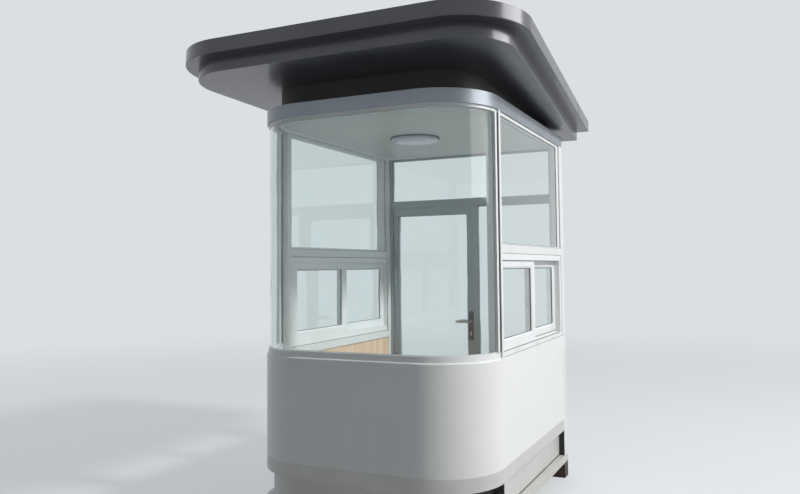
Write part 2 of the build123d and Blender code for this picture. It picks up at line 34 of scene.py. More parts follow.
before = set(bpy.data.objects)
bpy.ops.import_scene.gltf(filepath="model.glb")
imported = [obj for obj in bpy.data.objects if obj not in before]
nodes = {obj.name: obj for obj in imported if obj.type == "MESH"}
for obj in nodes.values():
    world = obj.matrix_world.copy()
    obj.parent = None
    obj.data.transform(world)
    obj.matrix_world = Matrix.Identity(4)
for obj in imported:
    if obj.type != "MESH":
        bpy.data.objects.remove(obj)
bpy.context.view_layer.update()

# The booth's own lines, read from its solids
wall_low, wall_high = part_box("front_wall")
ring_low, ring_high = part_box("ring_beam")
HALF_WIDTH = wall_high.x
FRONT_Y = wall_low.y
CORNER_END_Y = wall_high.y
CORNER_RADIUS = CORNER_END_Y - FRONT_Y
SILL = wall_high.z
CABIN_TOP = ring_low.z
REAR_Y = ring_high.y

UP = Vector((0.0, 0.0, 1.0))

# The axis that the side windows face along, and the one that the back door and its lights face along
SIDEWAYS = 0
BACKWARDS = 1

# Faces that meet at more than this angle show an edge.
EDGE_ANGLE = math.radians(35)

# Corners nearer than this are one corner.
WELD = 1e-5

MM_IN_METRE = 1000.0

# A colour Mix node's sockets, which share their names, so they go by number
AMOUNT = 0
UNDER = 6
OVER = 7
MIXED = 2


def linear(colour):
    """An sRGB hex colour as the linear red, green and blue that shaders and lamps take."""
    parts = [int(colour[i:i + 2], 16) / 255 for i in (1, 3, 5)]
    return [p / 12.92 if p <= 0.04045 else ((p + 0.055) / 1.055) ** 2.4 for p in parts]


def rgba(colour):
    return (*linear(colour), 1.0)


def put(tree, kind, settings=None, sockets=None, links=None, stops=()):
    """Adds a shader node with its settings, its fixed sockets and its links. The stops are a ramp's
    places and hex colours."""
    node = tree.nodes.new("ShaderNode" + kind)
    for name, value in (settings or {}).items():
        setattr(node, name, value)
    for name, value in (sockets or {}).items():
        node.inputs[name].default_value = value
    for name, (source, output) in (links or {}).items():
        tree.links.new(source.outputs[output], node.inputs[name])
    for number, (place, colour) in enumerate(stops):
        node.color_ramp.elements[number].position = place
        node.color_ramp.elements[number].color = rgba(colour)
    return node


def new_finish(name):
    """An empty material, and a place on the piece in millimetres to drive its patterns."""
    material = bpy.data.materials.new(name)
    material.use_nodes = True
    tree = material.node_tree
    tree.nodes.clear()
    place = put(tree, "TexCoord")
    mm = put(
        tree, "VectorMath", {"operation": "SCALE"}, {"Scale": MM_IN_METRE}, {"Vector": (place, "Object")},
    )
    return material, tree, mm


# Clouds of road dust are 38 mm wide; thin sheet keeps waves 420 mm long.
ROAD_DUST = "#a39a8c"
DUST_CLOUD = 38.0
DUST_COVER = 0.8
SHEET_WAVE = 420.0


def coated(name, colour, shade, roughness, spread, metallic=0.0, grain=9.0, lift=0.05, patch=260.0,
           stretch=(1.0, 1.0, 1.0), coat=0.0, dust=None, wave=0.0):
    """Sprayed, baked or anodised skin. Colour drifts to shade and roughness by spread over patches of
    patch mm. grain is the orange peel or drawing line in mm, drawn coarser than it is so that it shows,
    lift its height in mm, and stretch draws it out along an axis. dust is the height in mm up to which
    road dust clings, and wave the height in mm of the long waves that a thin sheet keeps."""
    material, tree, mm = new_finish(name)
    drift = put(
        tree, "TexNoise", sockets={"Scale": 1 / patch, "Detail": 4.0, "Roughness": 0.6},
        links={"Vector": (mm, "Vector")},
    )
    tint = put(tree, "ValToRGB", links={"Fac": (drift, "Fac")}, stops=((0.35, shade), (0.65, colour)))
    surface = (tint, "Color")
    dull = put(
        tree, "MapRange", sockets={"To Min": roughness - spread, "To Max": roughness + spread},
        links={"Value": (drift, "Fac")},
    )
    if dust:
        spot = put(tree, "SeparateXYZ", links={"Vector": (mm, "Vector")})
        low = put(
            tree, "MapRange", sockets={"From Min": dust, "From Max": 0.0, "To Max": DUST_COVER},
            links={"Value": (spot, "Z")},
        )
        cloud = put(
            tree, "TexNoise", sockets={"Scale": 1 / DUST_CLOUD, "Detail": 6.0, "Roughness": 0.7},
            links={"Vector": (mm, "Vector")},
        )
        amount = put(
            tree, "Math", {"operation": "MULTIPLY", "use_clamp": True},
            links={0: (low, "Result"), 1: (cloud, "Fac")},
        )
        dusty = put(
            tree, "Mix", {"data_type": "RGBA"}, {OVER: rgba(ROAD_DUST)},
            {AMOUNT: (amount, "Value"), UNDER: surface},
        )
        surface = (dusty, MIXED)
    drawn = put(
        tree, "Mapping", sockets={"Scale": tuple(s / grain for s in stretch)},
        links={"Vector": (mm, "Vector")},
    )
    peel = put(tree, "TexNoise", sockets={"Scale": 1.0, "Detail": 2.0}, links={"Vector": (drawn, "Vector")})
    bump = put(
        tree, "Bump", sockets={"Strength": 0.35, "Distance": lift / MM_IN_METRE},
        links={"Height": (peel, "Fac")},
    )
    if wave:
        swell = put(
            tree, "TexNoise", sockets={"Scale": 1 / SHEET_WAVE, "Detail": 0.0},
            links={"Vector": (mm, "Vector")},
        )
        bump = put(
            tree, "Bump", sockets={"Strength": 1.0, "Distance": wave / MM_IN_METRE},
            links={"Height": (swell, "Fac"), "Normal": (bump, "Normal")},
        )
    skin = put(
        tree, "BsdfPrincipled",
        sockets={"Metallic": metallic, "Coat Weight": coat, "Coat Roughness": 0.12},
        links={"Base Color": surface, "Roughness": (dull, "Result"), "Normal": (bump, "Normal")},
    )
    put(tree, "OutputMaterial", links={"Surface": (skin, "BSDF")})
    return material


# Flakes are drawn 2 mm wide, far coarser than real ones, so that they show at all.
LACQUER_DRIFT = 300.0
LACQUER_FLAKE = 2.0
LACQUER_WAVE = 350.0


def metallic_lacquer(name, colour, shade, flake):
    """Graphite car lacquer sprayed on folded sheet: dark, with bright flakes under a clear coat that
    mirrors the sky in the rounds."""
    material, tree, mm = new_finish(name)
    drift = put(
        tree, "TexNoise", sockets={"Scale": 1 / LACQUER_DRIFT, "Detail": 4.0},
        links={"Vector": (mm, "Vector")},
    )
    tint = put(tree, "ValToRGB", links={"Fac": (drift, "Fac")}, stops=((0.35, shade), (0.65, colour)))
    flakes = put(
        tree, "TexVoronoi", sockets={"Scale": 1 / LACQUER_FLAKE}, links={"Vector": (mm, "Vector")},
    )
    spark = put(
        tree, "MapRange", sockets={"From Min": 0.93, "From Max": 1.0, "To Max": 0.35},
        links={"Value": (flakes, "Color")},
    )
    surface = put(
        tree, "Mix", {"data_type": "RGBA"}, {OVER: rgba(flake)},
        {AMOUNT: (spark, "Result"), UNDER: (tint, "Color")},
    )
    swell = put(
        tree, "TexNoise", sockets={"Scale": 1 / LACQUER_WAVE, "Detail": 0.0},
        links={"Vector": (mm, "Vector")},
    )
    bump = put(
        tree, "Bump", sockets={"Strength": 1.0, "Distance": 0.0006}, links={"Height": (swell, "Fac")},
    )
    dull = put(
        tree, "MapRange", sockets={"To Min": 0.30, "To Max": 0.44}, links={"Value": (drift, "Fac")},
    )
    lacquer = put(
        tree, "BsdfPrincipled", sockets={"Metallic": 0.6, "Coat Weight": 0.6, "Coat Roughness": 0.16},
        links={"Base Color": (surface, MIXED), "Roughness": (dull, "Result"), "Normal": (bump, "Normal")},
    )
    put(tree, "OutputMaterial", links={"Surface": (lacquer, "BSDF")})
    return material


# The grain's figure and its pores in mm, across the board both ways and along it. The pores are drawn
# 2.5 mm wide, coarser than real ones, so that they show.
WOOD_FIGURE = (30.0, 30.0, 420.0)
WOOD_PORES = (2.5, 2.5, 60.0)


def wood_laminate(name, light, dark, pore):
    """Wood grain printed on board: a pale upright figure with fine darker pores, and a dull sheen."""
    material, tree, mm = new_finish(name)
    figure = put(
        tree, "Mapping", sockets={"Scale": tuple(1 / size for size in WOOD_FIGURE)},
        links={"Vector": (mm, "Vector")},
    )
    rings = put(
        tree, "TexNoise", sockets={"Scale": 1.0, "Detail": 5.0, "Distortion": 0.8},
        links={"Vector": (figure, "Vector")},
    )
    tint = put(tree, "ValToRGB", links={"Fac": (rings, "Fac")}, stops=((0.30, dark), (0.62, light)))
    lines = put(
        tree, "Mapping", sockets={"Scale": tuple(1 / size for size in WOOD_PORES)},
        links={"Vector": (mm, "Vector")},
    )
    pores = put(
        tree, "TexNoise", sockets={"Scale": 1.0, "Detail": 1.0}, links={"Vector": (lines, "Vector")},
    )
    cut = put(
        tree, "MapRange", sockets={"From Min": 0.62, "From Max": 0.75, "To Max": 0.4},
        links={"Value": (pores, "Fac")},
    )
    surface = put(
        tree, "Mix", {"data_type": "RGBA"}, {OVER: rgba(pore)},
        {AMOUNT: (cut, "Result"), UNDER: (tint, "Color")},
    )
    bump = put(
        tree, "Bump", sockets={"Strength": 0.3, "Distance": 0.00008}, links={"Height": (pores, "Fac")},
    )
    board = put(
        tree, "BsdfPrincipled", sockets={"Roughness": 0.42},
        links={"Base Color": (surface, MIXED), "Normal": (bump, "Normal")},
    )
    put(tree, "OutputMaterial", links={"Surface": (board, "BSDF")})
    return material


RUST_PATCH = 45.0
RUST_PIT = 6.0


def rusty_steel(name, primer, dark_rust, bright_rust):
    """Square tube with dark brown primer, worn through in patches to dull brown orange rust that is
    pitted all over."""
    material, tree, mm = new_finish(name)
    worn = put(
        tree, "TexNoise", sockets={"Scale": 1 / RUST_PATCH, "Detail": 8.0, "Roughness": 0.7},
        links={"Vector": (mm, "Vector")},
    )
    patches = put(
        tree, "MapRange", sockets={"From Min": 0.53, "From Max": 0.66}, links={"Value": (worn, "Fac")},
    )
    pits = put(
        tree, "TexNoise", sockets={"Scale": 1 / RUST_PIT, "Detail": 4.0}, links={"Vector": (mm, "Vector")},
    )
    rust = put(
        tree, "ValToRGB", links={"Fac": (pits, "Fac")}, stops=((0.35, dark_rust), (0.65, bright_rust)),
    )
    whole = put(tree, "Math", {"operation": "SUBTRACT"}, {0: 1.0}, {1: (patches, "Result")})
    surface = put(
        tree, "Mix", {"data_type": "RGBA"}, {OVER: rgba(primer)},
        {AMOUNT: (whole, "Value"), UNDER: (rust, "Color")},
    )
    dull = put(
        tree, "MapRange", sockets={"To Min": 0.5, "To Max": 0.9}, links={"Value": (patches, "Result")},
    )
    height = put(
        tree, "Math", {"operation": "MULTIPLY"}, links={0: (patches, "Result"), 1: (pits, "Fac")},
    )
    bump = put(
        tree, "Bump", sockets={"Strength": 0.8, "Distance": 0.0006}, links={"Height": (height, "Value")},
    )
    steel = put(
        tree, "BsdfPrincipled", sockets={"Metallic": 0.1},
        links={"Base Color": (surface, MIXED), "Roughness": (dull, "Result"), "Normal": (bump, "Normal")},
    )
    put(tree, "OutputMaterial", links={"Surface": (steel, "BSDF")})
    return material


OPAL_CLOUD = 120.0


def opal_acrylic(name, colour, shade):
    """Moulded milky acrylic: white with a faint lilac cast, soft inside and glossy outside."""
    material, tree, mm = new_finish(name)
    cloud = put(
        tree, "TexNoise", sockets={"Scale": 1 / OPAL_CLOUD, "Detail": 2.0},
        links={"Vector": (mm, "Vector")},
    )
    tint = put(tree, "ValToRGB", links={"Fac": (cloud, "Fac")}, stops=((0.35, shade), (0.65, colour)))
    cover = put(
        tree, "BsdfPrincipled",
        sockets={"Roughness": 0.22, "IOR": 1.49, "Subsurface Weight": 0.3, "Subsurface Scale": 0.004},
        links={"Base Color": (tint, "Color")},
    )
    put(tree, "OutputMaterial", links={"Surface": (cover, "BSDF")})
    return material


# Slow ripples in a bent sheet, in mm: across both ways, and up
GLASS_RIPPLE = (70.0, 70.0, 260.0)


def clear_glass(name, colour, wave=0.0):
    """Polished float glass. It mirrors little head on and more at a slant, and lamps shine through it.
    wave is the height in mm of the slow ripples that a sheet keeps when it is bent over a mould."""
    material, tree, mm = new_finish(name)
    relief = {}
    if wave:
        drawn = put(
            tree, "Mapping", sockets={"Scale": tuple(1 / size for size in GLASS_RIPPLE)},
            links={"Vector": (mm, "Vector")},
        )
        ripple = put(
            tree, "TexNoise", sockets={"Scale": 1.0, "Detail": 1.0}, links={"Vector": (drawn, "Vector")},
        )
        bump = put(
            tree, "Bump", sockets={"Strength": 1.0, "Distance": wave / MM_IN_METRE},
            links={"Height": (ripple, "Fac")},
        )
        relief = {"Normal": (bump, "Normal")}
    pane = put(
        tree, "BsdfPrincipled",
        sockets={"Base Color": rgba(colour), "Roughness": 0.0, "IOR": 1.5, "Transmission Weight": 1.0},
        links=relief,
    )
    open_way = put(tree, "BsdfTransparent")
    ray = put(tree, "LightPath")
    mix = put(
        tree, "MixShader", links={0: (ray, "Is Shadow Ray"), 1: (pane, "BSDF"), 2: (open_way, "BSDF")},
    )
    put(tree, "OutputMaterial", links={"Surface": (mix, "Shader")})
    return material


# Powder baked on flat sheet: satin white, faint orange peel, and long waves in what it mirrors
WALL_PAINT = coated("white_powder_coat", "#eceeed", "#e9ebea", 0.34, 0.05, grain=16.0, wave=0.4)
# The same powder on the rolled front, where the rolls leave faint upright lines
ROLLED_PAINT = coated(
    "white_powder_coat_on_rolled_sheet", "#eceeed", "#e8eae9", 0.33, 0.05, grain=22.0,
    stretch=(1.0, 1.0, 0.02),
)
# The same powder on tube: a touch greyer, with peel that shows at the rounded edges
FRAME_PAINT = coated("white_powder_coat_on_tube", "#e6e9e9", "#dde1e1", 0.36, 0.05, grain=12.0)
# Sprayed enamel: pale warm grey with a soft shine, dusty towards the ground
BASE_PAINT = coated(
    "pale_grey_enamel", "#d3d3d1", "#c9c9c6", 0.36, 0.07, metallic=0.1, grain=14.0, dust=210.0,
)
# Black, dull and lumpy coat that paints the shade in the plinth's recesses
PAINTED_SHADE_BLACK = coated("black_painted_shade_coat", "#1d1d1f", "#242322", 0.6, 0.1, grain=20.0, lift=0.4)
# Sprayed metallic enamel: slate blue in shade and bright silver where light strikes it
RING_PAINT = coated(
    "silver_blue_grey_enamel", "#979ea7", "#8f969f", 0.36, 0.05, metallic=0.5, grain=14.0, coat=0.1,
)
CANOPY_PAINT = metallic_lacquer("graphite_metallic_lacquer", "#4c4c52", "#45454b", "#9a9aa2")
# Sprayed enamel under the canopy: black, with a low sheen
NECK_PAINT = coated("black_semi_matt_enamel", "#161518", "#121113", 0.5, 0.08)
# Powder coated aluminium: a cooler, smoother white than the walls
WHITE_PROFILE = coated("white_coated_aluminium", "#edf0f1", "#e6eaea", 0.32, 0.05, grain=10.0)
# Drawn and anodised aluminium: cool mid grey, darkened past its silver as painted shade, with fine lines
# along the upright bars
SILVER_PROFILE_WITH_PAINTED_SHADE = coated(
    "silver_anodised_aluminium_darkened_as_painted_shade", "#8e979b", "#929b9f", 0.34, 0.05, metallic=0.5, grain=5.0, lift=0.03,
    stretch=(1.0, 1.0, 0.05),
)
# Extruded rubber: nearly black and dull
RUBBER = coated("black_rubber", "#1c1e20", "#17191a", 0.7, 0.08, grain=6.0)
# Extruded rubber in the windows: mid grey and dull
GREY_RUBBER = coated("grey_glazing_rubber", "#565c5f", "#4c5255", 0.65, 0.08, grain=6.0)
# Silicone smoothed by finger: soft shine and slight lumps
SILICONE = coated("grey_silicone_sealant", "#8b9192", "#7f8586", 0.3, 0.08, grain=12.0, lift=0.3)
# The same, milky, so that it hardly shows against glass and white frames
CLEAR_SILICONE = coated("milky_silicone_sealant", "#cfd5d5", "#c2c9c9", 0.25, 0.06, grain=12.0, lift=0.3)
# Woven pile: dark fuzz without shine, its tufts drawn 2 mm wide so that they show
WOOL_PILE = coated("dark_wool_pile", "#35373a", "#2a2c2e", 0.9, 0.05, grain=2.0, lift=0.3)
# Plated and brushed nickel: warm grey metal with a soft gleam
NICKEL = coated("satin_nickel", "#b4b3ae", "#a5a39d", 0.3, 0.06, metallic=1.0, grain=3.0, lift=0.02)
# Zinc plated steel: bluish metal, cloudy from its crystals
ZINC = coated("zinc_plated_steel", "#b9bcc0", "#9fa3a8", 0.35, 0.1, metallic=1.0, grain=4.0, patch=20.0)
# Cast and darkened bronze: brown black, rubbed paler in patches
BRONZE = coated(
    "dark_bronze", "#34281f", "#483930", 0.34, 0.08, metallic=0.8, grain=5.0, lift=0.04, patch=40.0,
)
# Pressed vinyl plank: greenish white, with faint lines along the plank
BOARD = coated(
    "white_vinyl_ceiling_plank", "#cdd3cf", "#c4cac6", 0.45, 0.06, grain=30.0, stretch=(0.02, 1.0, 1.0),
)
# Board behind the planks, seen only in the joints: flat, its dark grey is painted shade for the joints
SHADOW_BOARD = coated("grey_backing_board_painted_joint_shade", "#7d827f", "#747976", 0.7, 0.05)
LAMINATE = wood_laminate("peach_wood_laminate", "#ecd2b6", "#ddbb96", "#b98d63")
# Rolled vinyl with 4 mm chips: speckled grey, scuffed dull
VINYL = coated("grey_vinyl_floor", "#8a8c8c", "#6e7071", 0.5, 0.08, patch=4.0)
# Moulded nylon: off white with a soft sheen
NYLON = coated("white_nylon", "#dfe1df", "#d3d5d3", 0.4, 0.05)
OPAL = opal_acrylic("opal_acrylic", "#bfc3d2", "#b6bacb")
RUST = rusty_steel("rusty_dark_steel", "#2b2320", "#43261a", "#74432a")
GLASS = clear_glass("float_glass", "#f4fafa")
BENT_GLASS = clear_glass("bent_float_glass", "#f0f8f8", wave=0.5)


def dress(names, material):
    """Gives the solids of these nodes their finish."""
    for name in names:
        slots = nodes[name].data.materials
        slots.clear()
        slots.append(material)


dress(["feet"], RUST)
dress(["bottom_rail", "base_webs", "base_posts", "skirt_band"], BASE_PAINT)
dress(["floor"], VINYL)
dress(["front_wall"], ROLLED_PAINT)
dress(["left_wall", "right_wall"], WALL_PAINT)
dress(["sill_trim", "front_posts", "rear_posts", "side_transoms"], FRAME_PAINT)
dress(["front_lining", "side_linings", "rear_lining"], LAMINATE)
dress(["ring_beam"], RING_PAINT)
dress(["glazing_channels", "upper_window_frames", "sliding_window_frames"], WHITE_PROFILE)
dress(["outer_sashes", "inner_sashes"], WHITE_PROFILE)
dress(["front_glass"], BENT_GLASS)
dress(["upper_window_panes", "sash_panes", "rear_transom_pane", "side_light_pane", "door_pane"], GLASS)
dress(["glass_seals"], RUBBER)
dress(["sash_latches", "frame_hinges", "door_hinges", "door_levers"], NICKEL)
# The back frames and their beads are silver, darkened as painted shade.
dress(["door_frame", "rear_header", "rear_transom_frame", "side_light_frame", "door_leaf"], SILVER_PROFILE_WITH_PAINTED_SHADE)
dress(["handle_plates"], BRONZE)
# The ceiling solid shows only between the planks, dark as painted shade in the joints.
dress(["ceiling"], SHADOW_BOARD)
dress(["ceiling_lamp"], OPAL)
dress(["roof_neck"], NECK_PAINT)
dress(["lower_canopy", "upper_canopy", "roof_deck"], CANOPY_PAINT)


def solids_of(name):
    """The lowest and highest corner of each separate solid in a node, from left to right."""
    mesh = bmesh.new()
    mesh.from_mesh(nodes[name].data)
    bmesh.ops.remove_doubles(mesh, verts=mesh.verts, dist=WELD)
    waiting = set(mesh.verts)
    boxes = []
    while waiting:
        group = [waiting.pop()]
        for vertex in group:
            near = [edge.other_vert(vertex) for edge in vertex.link_edges]
            fresh = [other for other in near if other in waiting]
            waiting.difference_update(fresh)
            group.extend(fresh)
        low = Vector([min(v.co[k] for v in group) for k in range(3)])
        high = Vector([max(v.co[k] for v in group) for k in range(3)])
        boxes.append((low, high))
    mesh.free()
    return sorted(boxes, key=lambda corners: (round(corners[0].x, 4), round(corners[0].y, 4), corners[0].z))


def solid_beside(name, x):
    """The corners of the node's solid that is on the same side of the booth as x."""
    return [corners for corners in solids_of(name) if corners[0].x * x > 0][0]


def side_faces(low, high):
    """Which side of the booth a solid is on, 1 or -1, and the x of its outer and of its inner face."""
    if low.x > 0:
        return 1.0, high.x, low.x
    return -1.0, low.x, high.x


def sweep(mesh, path, section, up, closed=False):
    """Draws a section along a flat path with mitred corners. Each section point is how far it lies
    to the inner side of the path, and how far along up."""
    count = len(path)
    rings = []
    for number, spot in enumerate(path):
        before = path[number - 1] if closed or number else None
        after = path[(number + 1) % count] if closed or number < count - 1 else None
        away = (after - spot).normalized() if after is not None else (spot - before).normalized()
        into = (spot - before).normalized() if before is not None else away
        side = into.cross(up) + away.cross(up)
        side /= 1 + into.dot(away)
        rings.append([mesh.verts.new(spot + side * a + up * b) for a, b in section])
    sides = len(section)
    for number in range(count if closed else count - 1):
        here = rings[number]
        there = rings[(number + 1) % count]
        for k in range(sides):
            mesh.faces.new((here[k], here[(k + 1) % sides], there[(k + 1) % sides], there[k]))
    if not closed:
        mesh.faces.new(rings[0])
        mesh.faces.new(list(reversed(rings[-1])))


def bar(mesh, corner, opposite):
    """A straight piece between two opposite corners, given in either order."""
    low = Vector([min(pair) for pair in zip(corner, opposite)])
    high = Vector([max(pair) for pair in zip(corner, opposite)])
    middle = Matrix.Translation((low + high) / 2)
    bmesh.ops.create_cube(mesh, size=1.0, matrix=middle @ Matrix.Diagonal((*(high - low), 1.0)))


def turned(mesh, profile, spot, out, steps):
    """Turns a profile of radii and heights round the direction out; a radius of 0 closes it."""
    place = Matrix.Translation(spot) @ Vector(out).to_track_quat("Z", "Y").to_matrix().to_4x4()
    rings = []
    for radius, height in profile:
        angles = [math.tau * k / steps for k in range(steps)] if radius else [0.0]
        spots = [Vector((radius * math.cos(a), radius * math.sin(a), height)) for a in angles]
        rings.append([mesh.verts.new(place @ spot) for spot in spots])
    for inner, outer in zip(rings, rings[1:]):
        for k in range(steps):
            here = (inner[k % len(inner)], inner[(k + 1) % len(inner)])
            there = (outer[(k + 1) % len(outer)], outer[k % len(outer)])
            mesh.faces.new(list(dict.fromkeys(here + there)))


def add_piece(name, mesh, finish, body, edge=0.0, stands_for=None):
    """Makes the shown piece: its finish, its body and softened edges of that width."""
    bmesh.ops.recalc_face_normals(mesh, faces=mesh.faces)
    data = bpy.data.meshes.new(name)
    mesh.to_mesh(data)
    mesh.free()
    for face in data.polygons:
        face.use_smooth = True
    data.set_sharp_from_angle(angle=EDGE_ANGLE)
    data.materials.append(finish)
    piece = bpy.data.objects.new(name, data)
    bpy.context.scene.collection.objects.link(piece)
    if edge:
        soften = piece.modifiers.new("soft_edges", "BEVEL")
        soften.width = edge
        soften.segments = 2
        soften.angle_limit = EDGE_ANGLE
    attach(piece, body)
    if stands_for:
        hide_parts(stands_for)


def half_width_at(y, inset):
    """How far the body reaches to each side at a distance y, drawn in by inset."""
    if y >= CORNER_END_Y:
        return HALF_WIDTH - inset
    radius = CORNER_RADIUS - inset
    return HALF_WIDTH - CORNER_RADIUS + math.sqrt(max(0.0, radius ** 2 - (CORNER_END_Y - y) ** 2))


# Straight steps that draw one round corner of the body
CORNER_STEPS = 24


def body_line(inset, end_y, z):
    """The bent line round the front, drawn in by inset, from end_y on the right to end_y on the left."""
    radius = CORNER_RADIUS - inset
    flat = HALF_WIDTH - CORNER_RADIUS
    start = math.asin(max(0.0, (CORNER_END_Y - end_y) / radius))
    right = [Vector((HALF_WIDTH - inset, end_y, z))] if end_y > CORNER_END_Y else []
    for step in range(CORNER_STEPS + 1):
        turn = start + (math.pi / 2 - start) * step / CORNER_STEPS
        right.append(Vector((flat + radius * math.cos(turn), CORNER_END_Y - radius * math.sin(turn), z)))
    return right + [Vector((-spot.x, spot.y, spot.z)) for spot in reversed(right)]


def bead_round(mesh, low, high, axis, level, out, section, grow=0.0):
    """A closed bead round the opening between two corners. It lies at level on the axis that the
    opening faces along, stands up towards out, and starts grow outside those corners."""
    across, along = [k for k in range(3) if k != axis]
    path = []
    for first, second in ((low, low), (high, low), (high, high), (low, high)):
        spot = Vector((0.0, 0.0, 0.0))
        spot[axis] = level
        spot[across] = first[across] + (grow if first is high else -grow)
        spot[along] = second[along] + (grow if second is high else -grow)
        path.append(spot)
    up = Vector((0.0, 0.0, 0.0))
    up[axis] = out
    if (path[1] - path[0]).cross(up).dot(path[3] - path[0]) < 0:
        path.reverse()
    sweep(mesh, path, section, up, closed=True)


# Sections of the beads, from the frame inwards and up from the face they lie on
GASKET = [(0.0, 0.0), (0.0, 0.0016), (0.0012, 0.0024), (0.0032, 0.0012), (0.0036, 0.0)]
SLOPED_BEAD = [(0.0, 0.0), (0.0, 0.0052), (0.0085, 0.0012), (0.0095, 0.0)]
DEEP_BEAD = [(0.0, 0.0), (0.0, 0.016), (0.004, 0.016), (0.011, 0.003), (0.011, 0.0)]
WIDE_SEALANT = [(0.0, 0.0), (0.0, 0.0045), (0.0018, 0.0018), (0.0045, 0.0)]
THIN_SEALANT = [(0.0, 0.0), (0.0, 0.0016), (0.0016, 0.0008), (0.0035, 0.0)]
GLASS_SEALANT = [(0.0, 0.0), (0.0065, 0.0), (0.002, 0.002), (0.0, 0.005)]

# A pan head's section in shares of its radius
PAN_HEAD = [(0.0, 0.35), (0.3, 0.35), (0.36, 0.75), (0.55, 0.7), (0.85, 0.45), (1.0, 0.0)]
SCREW_STEPS = 16


def screw(mesh, spot, out, radius):
    """A pan head screw with a round dimple in its middle."""
    turned(mesh, [(r * radius, h * radius) for r, h in PAN_HEAD], spot, out, SCREW_STEPS)


def add_gaskets():
    """Grey rubber where each pane meets its frame."""
    fixed = bmesh.new()
    for low, high in solids_of("upper_window_panes") + solids_of("sash_panes"):
        bead_round(fixed, low, high, SIDEWAYS, high.x, 1.0, GASKET)
        bead_round(fixed, low, high, SIDEWAYS, low.x, -1.0, GASKET)
    moving = bmesh.new()
    for name, mesh in (("rear_transom_pane", fixed), ("side_light_pane", fixed), ("door_pane", moving)):
        low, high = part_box(name)
        bead_round(mesh, low, high, BACKWARDS, high.y, 1.0, GASKET)
        bead_round(mesh, low, high, BACKWARDS, low.y, -1.0, GASKET)
    add_piece("pane_gaskets", fixed, GREY_RUBBER, "booth")
    add_piece("door_pane_gasket", moving, GREY_RUBBER, "door")


# How far each kind of bead starts outside its pane, and how far from the pane's middle it lies
SASH_BEAD = 0.010
SASH_BEAD_HALF = 0.007
FIXED_BEAD = 0.004
FIXED_BEAD_HALF = 0.005
LIGHT_BEAD = 0.006
LIGHT_BEAD_HALF = 0.006


def add_glazing_beads():
    """The sloped beads that clip in round the panes: both sides of a sash, the inside of a fixed light."""
    white = bmesh.new()
    for low, high in solids_of("sash_panes"):
        middle = (low.x + high.x) / 2
        for out in (1.0, -1.0):
            level = middle + out * SASH_BEAD_HALF
            bead_round(white, low, high, SIDEWAYS, level, out, SLOPED_BEAD, SASH_BEAD)
    for low, high in solids_of("upper_window_panes"):
        middle = (low.x + high.x) / 2
        inwards = -math.copysign(1.0, middle)
        level = middle + inwards * FIXED_BEAD_HALF
        bead_round(white, low, high, SIDEWAYS, level, inwards, DEEP_BEAD, FIXED_BEAD)
    add_piece("window_glazing_beads", white, WHITE_PROFILE, "booth")
    silver = bmesh.new()
    moving = bmesh.new()
    for name, mesh in (("rear_transom_pane", silver), ("side_light_pane", silver), ("door_pane", moving)):
        low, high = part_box(name)
        middle = (low.y + high.y) / 2
        bead_round(mesh, low, high, BACKWARDS, middle - LIGHT_BEAD_HALF, -1.0, DEEP_BEAD, LIGHT_BEAD)
    add_piece("back_glazing_beads", silver, SILVER_PROFILE_WITH_PAINTED_SHADE, "booth")
    add_piece("door_glazing_beads", moving, SILVER_PROFILE_WITH_PAINTED_SHADE, "door")


# The bent glass: how far it stands in from the body's line, and how much of it each channel covers
GLASS_INSET = 0.019
GLASS_THICKNESS = 0.008
FOOT_CHANNEL = 0.034
HEAD_CHANNEL = 0.018
END_CHANNEL = 0.024


def add_sealant():
    """Silicone in the joints: round the side windows, and where the bent glass leaves its channels."""
    joints = bmesh.new()
    for name, outdoor in (("upper_window_frames", WIDE_SEALANT), ("sliding_window_frames", THIN_SEALANT)):
        for low, high in solids_of(name):
            side, outer, inner = side_faces(low, high)
            bead_round(joints, low, high, SIDEWAYS, outer, side, outdoor)
            bead_round(joints, low, high, SIDEWAYS, inner, -side, WIDE_SEALANT)
    add_piece("window_sealant", joints, SILICONE, "booth")

    beads = bmesh.new()
    end_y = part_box("glass_seals")[0].y - END_CHANNEL
    for z, rise in ((SILL + FOOT_CHANNEL, 1.0), (CABIN_TOP - HEAD_CHANNEL, -1.0)):
        outside = [(-a, rise * b) for a, b in GLASS_SEALANT]
        inside = [(a, rise * b) for a, b in GLASS_SEALANT]
        sweep(beads, body_line(GLASS_INSET, end_y, z), outside, UP)
        sweep(beads, body_line(GLASS_INSET + GLASS_THICKNESS, end_y, z), inside, UP)
    add_piece("bent_glass_sealant", beads, CLEAR_SILICONE, "booth")


# The black sheet of painted shade stands just behind the plinth plates. Its turned out ends lie a hair in
# front of the base posts, paint shade on their fronts and leave each post's outer edge bare.
SHADE_SHEET_INSET = 0.0595
SHADE_SHEET_THICKNESS = 0.0012
SHADE_SHEET_END_BACK = 0.0001
SHADE_SHEET_END_FRONT = 0.0009
POST_EDGE = 0.003
SHADOW_LINE_PROUD = 0.0012
SHADOW_LINE_HEIGHT = 0.006
SHADE_PLATE_BACK = 0.0001
SHADE_PLATE_FRONT = 0.001
SHADE_PLATE_INSET = 0.004
# The plates along the sides are at least this many times as long as they are thick.
SIDE_PLATE_LENGTHS = 3


